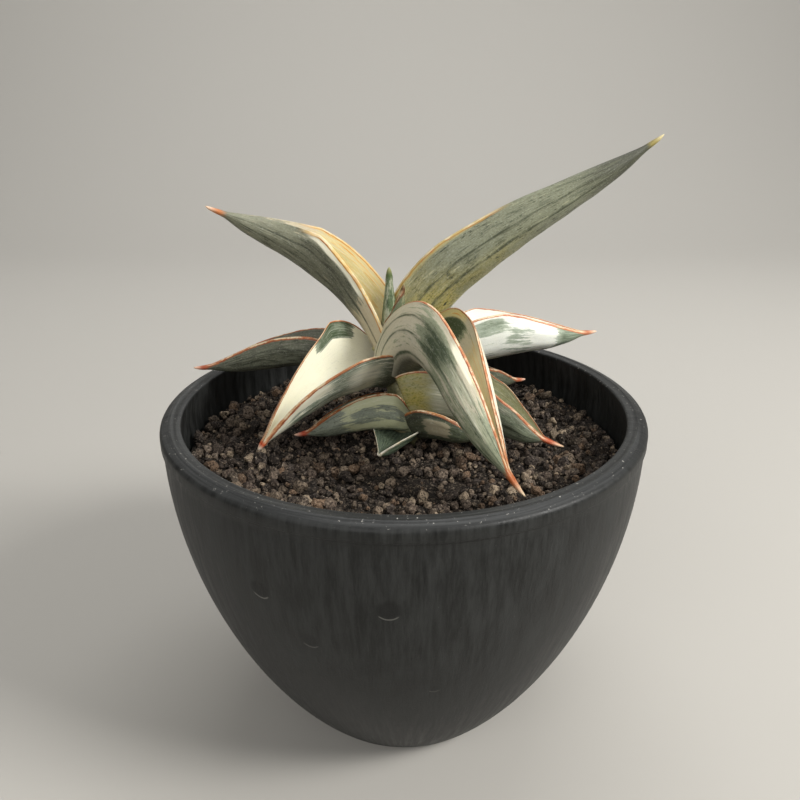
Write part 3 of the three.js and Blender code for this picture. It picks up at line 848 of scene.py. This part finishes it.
def scatterGrains():
    rng = random.Random(grit["seed"])
    templates = grainTemplates(rng)
    for name, (count, small, big, lift) in grit["sizes"].items():
        bm = bmesh.new()
        for _ in range(count):
            far = (grit["inside"] - small * 0.6) * math.sqrt(rng.random())
            turn = rng.uniform(0, 2 * math.pi)
            x, y = far * math.cos(turn), far * math.sin(turn)
            coarser = smoothstep(10, -55, x) * smoothstep(20, -40, y)
            size = (small + (big - small) * rng.random() ** 2) * (1 + 0.35 * coarser)
            z = bedHeight(x, y) + size * 0.25 + lift + rng.uniform(-0.4, 0.5)
            spin = Vector((rng.gauss(0, 1), rng.gauss(0, 1), rng.gauss(0, 1))).normalized()
            place = Matrix.Translation(Vector((x, y, z)) * mm)
            place = place @ Matrix.Rotation(rng.uniform(0, 6.28), 4, spin)
            grown = rng.choice(templates).copy()
            grown.transform(place @ Matrix.Scale(size * mm, 4))
            shade = Vector(paint(rng.choice(grit["tints"]))[:3]) * rng.uniform(0.65, 1.5)
            colors = grown.attributes.new("grainTint", "FLOAT_COLOR", "POINT")
            colors.data.foreach_set("color", [*shade, 1.0] * len(grown.vertices))
            bm.from_mesh(grown)
            bpy.data.meshes.remove(grown)
        finishPiece(bm, name, gritMaterial(name), smooth=False)
        print("grains laid:", name, count)
    for mesh in templates:
        bpy.data.meshes.remove(mesh)


buildBed()
scatterGrains()


# stage, light and camera, all in metres
stage = {"width": 9.0, "front": -9.0, "back": 1.3, "height": 2.6, "curve": 0.6, "steps": 12,
         "paper": "#aeaba5"}


def buildStage():
    bm = bmesh.new()
    width, back, curve = stage["width"], stage["back"], stage["curve"]
    line = [(stage["front"], 0), (back - curve, 0)]
    for i in range(1, stage["steps"] + 1):
        turn = math.pi / 2 * i / stage["steps"]
        line.append((back - curve + curve * math.sin(turn), curve - curve * math.cos(turn)))
    line.append((back, stage["height"]))
    verts = [bm.verts.new((-width, y, z)) for y, z in line]
    edges = [bm.edges.new(pair) for pair in zip(verts, verts[1:])]
    out = bmesh.ops.extrude_edge_only(bm, edges=edges)["geom"]
    moved = [v for v in out if isinstance(v, bmesh.types.BMVert)]
    bmesh.ops.translate(bm, verts=moved, vec=(2 * width, 0, 0))
    bmesh.ops.recalc_face_normals(bm, faces=bm.faces)
    mesh = bpy.data.meshes.new("studio_floor")
    bm.to_mesh(mesh)
    bm.free()
    floor = bpy.data.objects.new("studio_floor", mesh)
    bpy.context.collection.objects.link(floor)
    for face in mesh.polygons:
        face.use_smooth = True
    material, tree, shader = startMaterial("studio_paper")
    shader.inputs["Base Color"].default_value = paint(stage["paper"])
    shader.inputs["Roughness"].default_value = 0.9
    mesh.materials.append(material)


def addLight(name, place, aim, size, power, color):
    data = bpy.data.lights.new(name, "AREA")
    data.shape = "RECTANGLE"
    data.size, data.size_y = size
    data.energy = power
    data.color = color
    lamp = bpy.data.objects.new(name, data)
    lamp.location = place
    lamp.rotation_euler = (Vector(aim) - Vector(place)).to_track_quat("-Z", "Y").to_euler()
    bpy.context.collection.objects.link(lamp)


buildStage()
addLight("key", (0.75, -0.35, 0.72), (0, 0, 0.1), (0.3, 0.3), 12, (1, 0.985, 0.955))
addLight("fill", (-0.4, -0.95, 0.7), (0, 0, 0.1), (1.0, 0.7), 5.5, (1, 0.99, 0.97))
addLight("top", (0.1, 0.3, 1.1), (0, 0, 0.1), (0.8, 0.6), 4.5, (1, 0.995, 0.98))
addLight("backdrop", (0, 0.45, 0.85), (0, 1.15, 0.2), (1.4, 0.4), 4.4, (0.98, 0.99, 1))
world = bpy.data.worlds.new("studio_air")
world.use_nodes = True
world.node_tree.nodes["Background"].inputs["Color"].default_value = (0.8, 0.795, 0.78, 1)
world.node_tree.nodes["Background"].inputs["Strength"].default_value = 0.36
bpy.context.scene.world = world
bpy.context.scene.view_settings.view_transform = "Standard"

view = {"place": (-0.00075, -0.2341, 0.209), "down": 22.84, "tilt": 0.2, "lens": 36}
cameraData = bpy.data.cameras.new("camera")
cameraData.lens = view["lens"]
cameraData.sensor_width = 36
cameraData.clip_start = 0.01
camera = bpy.data.objects.new("camera", cameraData)
camera.location = view["place"]
camera.rotation_euler = (math.radians(90 - view["down"]), math.radians(view["tilt"]), 0)
bpy.context.collection.objects.link(camera)
bpy.context.scene.camera = camera
